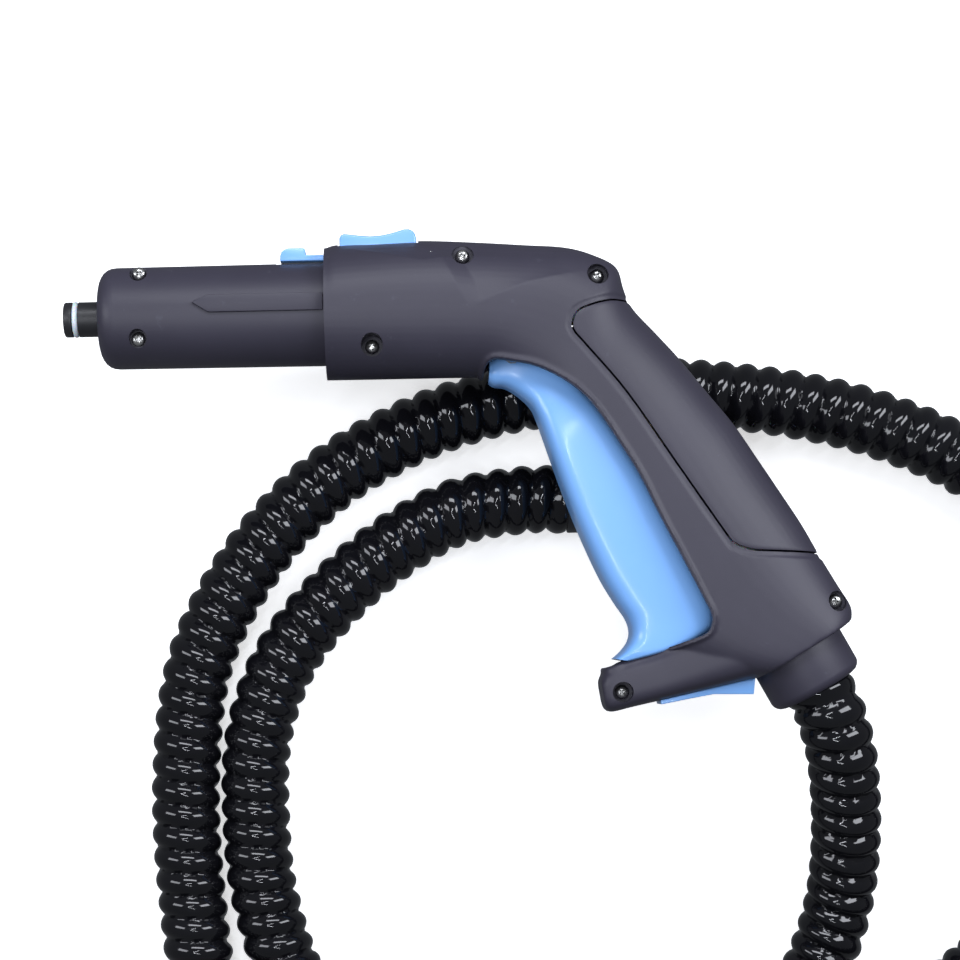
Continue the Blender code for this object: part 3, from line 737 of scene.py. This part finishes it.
# Screws: place, floor of the recess, radius of the recess and of the post
BODY_SCREWS = {
    "screw_body_top": ((139.3, 17.5), 9.2, 3.8, 5.2), "screw_body_rear": ((185.6, 9.8), 8.8, 3.8, 5.2),
    "screw_body_front": ((107.5, -13.3), 11.6, 3.8, 5.2), "screw_toe": ((191.7, -134.2), 5.9, 3.6, 4.6),
    "screw_heel": ((265.8, -104.3), 8.6, 3.6, 4.8),
}
BARREL_SCREWS = {
    "screw_barrel_upper": ((27.2, 14.1), 7.4, 3.1, 3.9), "screw_barrel_lower": ((27.0, -9.0), 12.0, 3.1, 3.9),
}


def rod(start, axis, low, high, radius, sides=48):
    return spun("rod", ((low, 0.0), (low, radius), (high, radius), (high, 0.0)), start, axis, sides)


def block(low, high):
    corners = ((low[0], low[1]), (high[0], low[1]), (high[0], high[1]), (low[0], high[1]))
    return plate("block", corners, low[2], high[2])


def make_room():
    """The hollow of the body, with a post for each screw and the rib that holds the barrel."""
    back = COLLAR_AXIS.to_2d() * (WALL + 0.1)
    rear, front, width, power = BODY_SECTIONS[-1]
    end = (tuple(Vector(rear) - back), tuple(Vector(front) - back), width, power)
    room = moulding("room", BODY_SECTIONS[2:-1] + (end,), 2, 32, WALL)
    combine(room, moulding("toe_room", TOE_SECTIONS[2:], 1, 24, WALL), "UNION")
    for spot, _, _, post in BODY_SCREWS.values():
        combine(room, rod((*spot, 0), OUTWARDS, -30, 30, post, 24))
    rib = ((99.5, 18.5), (99.5, 27.0), (101.2, 27.0), (101.2, 18.5), (99.5, 18.5))
    return combine(room, spun("rib", rib, (0, 0, 0), ALONG_BARREL, 48))


def lock_slot():
    sole = TOE_SOLE + SOLE_BACK * 27.0 - SOLE_DOWN * 1.0
    corners = ((-9.6, -3), (9.6, -3), (9.6, 5), (-9.6, 5))
    return plate("slot", [(sole + SOLE_BACK * s + SOLE_DOWN * d).to_2d() for s, d in corners], -3.4, 3.4)


def cut_body(piece):
    combine(piece, make_room())
    combine(piece, block(*FRONT_TRIM))
    combine(piece, rod((0, 0, 0), ALONG_BARREL, 70, 96, 18.3, 96))
    combine(piece, plate("opening", opening, -CUT_REACH, CUT_REACH))
    combine(piece, block(*TONGUE_ROOM))
    combine(piece, rod((*TRIGGER_PIVOT, 0), OUTWARDS, -13.1, 13.1, 1.85, 24))
    combine(piece, rod((*LEVER_PIVOT, 0), OUTWARDS, -14.0, 14.0, 1.65, 24))
    combine(piece, block(*BUTTON_SLOT))
    combine(piece, block(*HOOK_SLOT))
    combine(piece, rod(COLLAR_END, COLLAR_AXIS, -18.0, 8.0, 17.2, 64))
    combine(piece, lock_slot())


cut_body(body)
print("body with its openings:", len(body.data.polygons), "faces")

# %% [markdown]
# The screws sit at the bottom of deep round wells in the near half. Each half is a copy of the
# whole shell with the other side cut away, which keeps the two in line at the joint.

# %% Screw wells and halves
SPLIT_GAP = 0.15
WELL_MOUTH = 60.0
SHANK_HOLE = 1.5


def sink_screws(piece, screws, side):
    """A well in the near half, and a hole for the shank in either half."""
    for spot, seat, recess, _ in screws.values():
        if side > 0:
            combine(piece, rod((*spot, 0), OUTWARDS, seat, WELL_MOUTH, recess, 40))
        low, high = (-2.0, seat + 1.0) if side > 0 else (-6.0, 2.0)
        combine(piece, rod((*spot, 0), OUTWARDS, low, high, SHANK_HOLE, 16))


def half_of(piece, name, side, screws):
    """One half of a shell, on its side of the joint, with its screw holes."""
    half = copied(piece, name)
    low, high = sorted((-80.0 * side, SPLIT_GAP * side))
    combine(half, block((-20.0, -170.0, low), (320.0, 60.0, high)))
    sink_screws(half, screws, side)
    return half


def inset(outline, distance):
    """Move a smooth closed outline in by a distance."""
    moved = []
    for k, point in enumerate(outline):
        run = (outline[(k + 1) % len(outline)] - outline[k - 1]).normalized()
        moved.append(point + Vector((-run.y, run.x)) * distance)
    return moved


PANEL_GAP = 0.7
panel = copied(body, "rear_grip")
inner_line = inset(panel_line, math.copysign(PANEL_GAP, PANEL_TURN))
combine(panel, plate("keep", inner_line, -CUT_REACH, CUT_REACH), "INTERSECT")
combine(body, plate("panel_cut", panel_line, -CUT_REACH, CUT_REACH))
near_body = half_of(body, "near_body", 1, BODY_SCREWS)
far_body = half_of(body, "far_body", -1, BODY_SCREWS)
bpy.data.objects.remove(body, do_unlink=True)
present(near_body, "handset", "shell", "body_shell_near")
present(far_body, "handset", "shell", "body_shell_far")
present(panel, "handset", "shell", "rear_grip_panel")

# %% [markdown]
# The barrel is a turned shape with a rounded nose, so its profile is drawn once and spun. The
# rails on its sides and the slot for the hook on top are a join and a cut.

# %% Barrel
BARREL_PROFILE = (
    (12.7, 6.6), (12.7, 12.2), (13.0, 13.4), (13.6, 14.7), (14.5, 15.9), (15.8, 16.9), (17.2, 17.4),
    (19.0, 17.6), (96.0, 17.9), (96.0, 19.9), (99.1, 19.9), (99.1, 17.9), (101.8, 17.9), (101.8, 15.6),
    (20.9, 15.3), (20.9, 5.4), (19.4, 5.4), (19.4, 11.0), (16.6, 11.0), (16.6, 6.6), (12.7, 6.6),
)
BARREL_HOOK_SLOT = ((74.4, 12.0, -5.3), (110.0, 25.0, 5.3))
BARREL_BUTTON_ROOM = ((95.5, 17.25, -8.2), (110.0, 25.0, 8.2))
RAIL_OUTLINE = ((46.0, 2.6), (51.5, -1.0), (91.0, -1.0), (91.0, 5.0), (51.5, 5.0))


def make_barrel():
    barrel = spun("barrel", BARREL_PROFILE, (0, 0, 0), ALONG_BARREL, 96)
    for spot, _, _, post in BARREL_SCREWS.values():
        pillar = rod((*spot, 0), OUTWARDS, -20, 20, post, 24)
        combine(pillar, rod((0, 0, 0), ALONG_BARREL, 20.0, 32.0, 16.2, 96), "INTERSECT")
        combine(barrel, pillar, "UNION")
    for low, high in ((15.5, 18.9), (-18.9, -15.5)):
        rail = round_edges(plate("rail", RAIL_OUTLINE, low, high), 0.35, 30, 2)
        combine(barrel, rail, "UNION")
    combine(barrel, block(*BARREL_HOOK_SLOT))
    return combine(barrel, block(*BARREL_BUTTON_ROOM))


barrel = make_barrel()
for side, name, node in ((1, "near_barrel", "barrel_shell_near"), (-1, "far_barrel", "barrel_shell_far")):
    present(half_of(barrel, name, side, BARREL_SCREWS), "handset", "shell", node)
bpy.data.objects.remove(barrel, do_unlink=True)

# %% [markdown]
# The collar is the cuff that the hose leaves through: a turned sleeve with a rounded mouth and
# a flange that the two halves trap.

# %% Hose collar
COLLAR_PROFILE = (
    (-19.0, 9.5), (-19.0, 17.2), (-18.6, 17.6), (-17.6, 17.6), (-17.2, 17.2), (-17.2, 16.8), (-3.0, 16.8),
    (-2.0, 16.5), (-1.1, 15.9), (-0.4, 15.1), (0.0, 14.0), (-0.6, 13.5), (-14.0, 13.5), (-14.0, 9.5),
    (-19.0, 9.5),
)
present(spun("collar", COLLAR_PROFILE, COLLAR_END, COLLAR_AXIS, 96), "handset", "shell", "hose_collar")

# %% [markdown]
# The trigger is a blue paddle: flat cheeks, a generously rounded front that the
# fingers pull, a thin tongue at the top and a flared foot. It is lofted like the body, but with
# squarer sections, and it is hollow at the back for its spring and the valve.

# %% Trigger
TRIGGER_SECTIONS = (
    ((147.8, -25.4), (148.2, -17.0), 7.0, 3.0), ((149.8, -26.6), (151.4, -15.2), 8.2, 3.2),
    ((153.6, -27.2), (156.0, -13.8), 9.0, 3.4), ((157.8, -29.8), (164.2, -15.4), 9.8, 3.6),
    ((162.0, -33.7), (174.8, -21.6), 11.6, 4.0), ((164.4, -38.5), (182.5, -31.0), 13.4, 4.2),
    ((168.4, -50.4), (189.5, -40.0), 14.4, 4.6), ((174.0, -66.7), (201.0, -58.0), 14.8, 4.8),
    ((179.6, -81.1), (209.5, -73.0), 14.8, 4.8), ((185.3, -94.0), (217.5, -88.0), 14.5, 4.8),
    ((190.2, -102.6), (224.2, -103.0), 14.0, 4.8), ((194.0, -108.4), (224.8, -109.2), 13.6, 4.8),
    ((195.4, -112.8), (222.4, -113.8), 13.4, 4.8), ((194.7, -116.6), (216.4, -117.4), 13.2, 4.6),
    ((192.2, -120.0), (206.4, -120.8), 12.8, 4.4), ((189.2, -122.6), (194.6, -123.6), 11.6, 4.0),
)


def deeper(sections, reach):
    """The same sections, carried further back."""
    result = []
    for front, rear, width, power in sections:
        out = (Vector(rear) - Vector(front)).normalized() * reach
        result.append((front, tuple(Vector(rear) + out), width, power))
    return tuple(result)


def make_trigger():
    trigger = moulding("trigger", TRIGGER_SECTIONS, 6, 64)
    hollow = moulding("hollow", deeper(TRIGGER_SECTIONS[4:12], 7.0), 2, 32, 2.2)
    combine(hollow, block((100, -170, -1.5), (300, 20, 1.5)))
    combine(trigger, hollow)
    combine(trigger, rod((*TRIGGER_PIVOT, 0), OUTWARDS, -7.0, 7.0, 2.8, 40), "UNION")
    return combine(trigger, rod((*TRIGGER_PIVOT, 0), OUTWARDS, -9.0, 9.0, 1.8, 32))


present(make_trigger(), "trigger", "blue", "trigger")

# %% [markdown]
# The release lever is one blue piece: a button that the thumb presses and, in front of it, a
# hook that catches the steam plate. The lock is a wedge that slides along the toe's sole.

# %% Release lever and lock
BUTTON_OUTLINE = (
    (96.8, 19.4), (96.8, 25.4), (97.3, 26.4), (98.4, 26.9), (101.0, 26.6), (104.0, 26.2), (107.5, 25.9),
    (111.0, 26.1), (114.0, 26.6), (117.0, 27.4), (119.4, 28.1), (121.0, 28.1), (122.3, 27.5), (123.1, 26.4),
    (123.5, 25.0), (123.5, 19.4),
)
HOOK_OUTLINE = (
    (75.9, 18.3), (76.0, 20.2), (76.5, 21.5), (77.4, 22.3), (78.8, 22.8), (84.2, 22.8), (84.8, 22.2),
    (84.8, 20.3), (128.5, 20.3), (128.5, 18.2),
)


def make_lever():
    button = round_edges(plate("button", BUTTON_OUTLINE, -7.6, 7.6), 0.8, 40, 3)
    hook = round_edges(plate("hook", HOOK_OUTLINE, -4.6, 4.6), 0.4, 40, 2)
    combine(button, hook, "UNION")
    combine(button, rod((*LEVER_PIVOT, 0), OUTWARDS, -4.6, 4.6, 3.2, 32), "UNION")
    return combine(button, rod((*LEVER_PIVOT, 0), OUTWARDS, -9.0, 9.0, 1.6, 24))


def on_sole(places):
    return [(TOE_SOLE + SOLE_BACK * back + SOLE_DOWN * down).to_2d() for back, down in places]


def make_lock():
    wedge = ((17.1, -0.2), (17.1, 1.3), (27.0, 1.6), (35.7, 2.0), (42.0, 3.5), (49.2, 5.2), (51.0, -0.2))
    lock = round_edges(plate("lock", on_sole(wedge), -7.5, 7.5), 0.35, 30, 3)
    tongue = plate("tongue", on_sole(((27.0, 1.0), (35.0, 1.0), (35.0, -4.4), (27.0, -4.4))), -3.0, 3.0)
    head = plate("head", on_sole(((27.0, -2.9), (35.0, -2.9), (35.0, -4.9), (27.0, -4.9))), -5.0, 5.0)
    return combine(combine(lock, tongue, "UNION"), head, "UNION")


present(make_lever(), "release_lever", "blue", "release_lever")
present(make_lock(), "lock_slide", "blue", "lock_slide")

# %% [markdown]
# The seven screws are alike: a low domed head with a cross recess and a pointed shank. The
# cross is two slim blocks that narrow towards the bottom, and each screw has stopped turning
# somewhere else.

# %% Screws
FIRST_SCREW_TURN = 17
NEXT_SCREW_TURN = 41


def make_screw(name, spot, seat, turned):
    profile = (
        (-5.4, 0.0), (-5.4, 0.5), (-4.4, 1.1), (seat + 0.3, 1.1), (seat + 0.3, 2.3), (seat + 0.45, 2.45),
        (seat + 0.9, 2.45), (seat + 1.35, 2.25), (seat + 1.75, 1.8), (seat + 2.0, 1.1), (seat + 2.1, 0.0),
    )
    screw = spun(name, profile, (*spot, 0), OUTWARDS, 40)
    for angle in (turned, turned + 90):
        run = Vector((math.cos(math.radians(angle)), math.sin(math.radians(angle))))
        across = Vector((-run.y, run.x))
        rings = []
        for z, length, width in ((seat + 0.75, 0.7, 0.22), (seat + 2.6, 1.5, 0.42)):
            corners = ((-length, -width), (length, -width), (length, width), (-length, width))
            rings.append([at(*(Vector(spot) + run * a + across * b), z) for a, b in corners])
        combine(screw, lofted("cross", rings))
    return screw


for number, (name, (spot, seat, _, _)) in enumerate({**BODY_SCREWS, **BARREL_SCREWS}.items()):
    turned = FIRST_SCREW_TURN + NEXT_SCREW_TURN * number
    screw = make_screw(name.replace("screw", "cross_screw"), spot, seat, turned)
    present(screw, "handset", "steel", name)

# %% [markdown]
# The spigot carries the steam into the plate: a turned black pin with a groove for its O-ring.

# %% Spigot and O-ring
SPIGOT_PROFILE = (
    (0.0, 2.3), (0.0, 5.4), (0.15, 5.8), (0.6, 6.1), (2.8, 6.1), (2.8, 4.2), (5.2, 4.2), (5.2, 6.1),
    (16.9, 6.1), (16.9, 10.5), (19.1, 10.5), (19.1, 3.0), (33.0, 3.0), (33.0, 1.9), (0.5, 1.9), (0.0, 2.3),
)
present(spun("spigot", SPIGOT_PROFILE, (0, 0, 0), ALONG_BARREL, 64), "handset", "inner", "nozzle_spigot")


def ring_profile(centre, radius, wire, count=16):
    turns = [2 * math.pi * k / count for k in range(count + 1)]
    return [(centre + wire * math.cos(a), radius + wire * math.sin(a)) for a in turns]


present(
    spun("spigot_seal", ring_profile(4.0, 5.25, 1.0), (0, 0, 0), ALONG_BARREL, 64), "handset", "silicone",
    "spigot_o_ring",
)

# %% [markdown]
# The hose ends in a connector under the handle: a moulded body clamped on the hose, a free nut
# with grip ribs, and a spigot with its own O-ring. The ribs are cut grooves, all one shape.

# %% Hose connector
FITTING_PROFILE = (
    (0.5, 1.9), (0.5, 11.9), (0.8, 12.2), (21.5, 12.2), (22.3, 11.9), (24.5, 10.8), (28.0, 8.4), (37.0, 8.4),
    (37.0, 10.0), (39.5, 10.0), (39.5, 6.0), (56.0, 6.0), (56.0, 4.4), (58.2, 4.4), (58.2, 6.0), (62.0, 6.0),
    (62.7, 5.7), (63.0, 5.2), (63.0, 1.9), (0.5, 1.9),
)
NUT_PROFILE = (
    (29.0, 8.9), (29.0, 11.2), (29.4, 11.8), (30.2, 12.2), (50.8, 12.2), (51.6, 11.9), (52.0, 11.2),
    (52.0, 10.5), (36.4, 10.5), (36.4, 8.9), (29.0, 8.9),
)
NUT_RIBS = 18


def make_nut():
    nut = spun("connector_nut", NUT_PROFILE, HOSE_END, ALONG_BARREL, 90)
    for k in range(NUT_RIBS):
        turn = 2 * math.pi * k / NUT_RIBS
        around = Vector((0, math.cos(turn), math.sin(turn))) * 13.0
        groove = rod(Vector(HOSE_END) + around, ALONG_BARREL, 31.5, 49.5, 1.25, 12)
        combine(nut, groove)
    return nut


fitting = spun("connector_body", FITTING_PROFILE, HOSE_END, ALONG_BARREL, 64)
present(fitting, "handset", "inner", "hose_end_fitting")
nut = present(make_nut(), "hose_nut", "inner", "hose_end_nut")
seal = present(
    spun("connector_seal", ring_profile(57.1, 5.35, 0.85), HOSE_END, ALONG_BARREL, 48), "handset", "silicone",
    "hose_end_o_ring",
)

# %% [markdown]
# The pieces inside are hidden, and their CAD shapes are right. They only need their finishes,
# which the frame's record names.

# %% Finishes for the CAD pieces
SLOT_OF = {part["node"]: part["material_slot"] for part in frame["record"]["subparts"]}
for name, node in NODES.items():
    node.data.materials.clear()
    node.data.materials.append(finishes[SLOT_OF[name]])
print("CAD pieces with a finish:", len(NODES))

round(hose_length * MM, 3)

# %% [markdown]
# The studio is a white table under soft lights. Two thin strips hang beside the camera, because
# they draw the bright lines on each rib of the hose. The table glows a little, so that it stays
# white in the shadows. It neither lights the pieces nor shows in them: seen at a grazing angle
# it would put a grey rim round the glossy hose.

# %% Floor and lights
FLOOR_SIDE = 3.0
FLOOR_GLOW = 0.6
MIDDLE = (150, -120, 0)
COOL = (0.9, 0.93, 1.0)
# Lamps: place, width and height in metres, and watts
LAMPS = {
    "left_softbox": ((-650, 100, 600), (0.25, 0.6), 3.6),
    "right_softbox": ((850, 250, 700), (0.3, 0.7), 7.0),
    "top_softbox": ((150, 800, 900), (0.9, 0.25), 8.0),
    "strip_above": ((20, 60, 1000), (0.45, 0.014), 1.6),
    "strip_below": ((20, -310, 1000), (0.45, 0.014), 1.6),
}
WORLD_COLOUR = (0.88, 0.93, 1.0, 1.0)
WORLD_STRENGTH = 0.2


def make_floor():
    deselect_all()
    bpy.ops.mesh.primitive_plane_add(size=FLOOR_SIDE, location=at(150, -130, FLOOR_Z))
    floor = tidy_mesh(bpy.context.object, "studio_floor")
    paper = Finish("white_paper", Roughness=0.9)
    paper.set("Base Color", paper.blend(paper.noise(40, 3.0), (0.93, 0.93, 0.93), (0.95, 0.95, 0.95)))
    floor.data.materials.append(paper.material)
    paper.shader.inputs["Emission Color"].default_value = (1.0, 1.0, 1.0, 1.0)
    paper.shader.inputs["Emission Strength"].default_value = FLOOR_GLOW
    floor.visible_glossy = False
    floor.visible_diffuse = False
    floor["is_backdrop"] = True


def make_lamp(name, spot, size, watts):
    """A rectangular lamp, aimed at the middle of the gun."""
    lamp = bpy.data.lights.new(name, "AREA")
    lamp.shape = "RECTANGLE"
    lamp.size, lamp.size_y = size
    lamp.energy = watts
    lamp.color = COOL
    holder = bpy.data.objects.new(name, lamp)
    holder.location = at(*spot)
    holder.rotation_euler = (at(*spot) - at(*MIDDLE)).to_track_quat("Z", "Y").to_euler()
    bpy.context.scene.collection.objects.link(holder)


make_floor()
for name, (spot, size, watts) in LAMPS.items():
    make_lamp(name, spot, size, watts)

world = bpy.data.worlds.new("studio")
world.use_nodes = True
world.node_tree.nodes["Background"].inputs["Color"].default_value = WORLD_COLOUR
world.node_tree.nodes["Background"].inputs["Strength"].default_value = WORLD_STRENGTH
bpy.context.scene.world = world
bpy.context.scene.view_settings.view_transform = "Standard"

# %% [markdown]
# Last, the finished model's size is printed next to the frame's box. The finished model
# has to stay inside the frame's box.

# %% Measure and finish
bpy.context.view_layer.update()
for before, after in zip(CAD_BOX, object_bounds()):
    print("box corner:", [round(c, 4) for c in before], "now", [round(c, 4) for c in after])
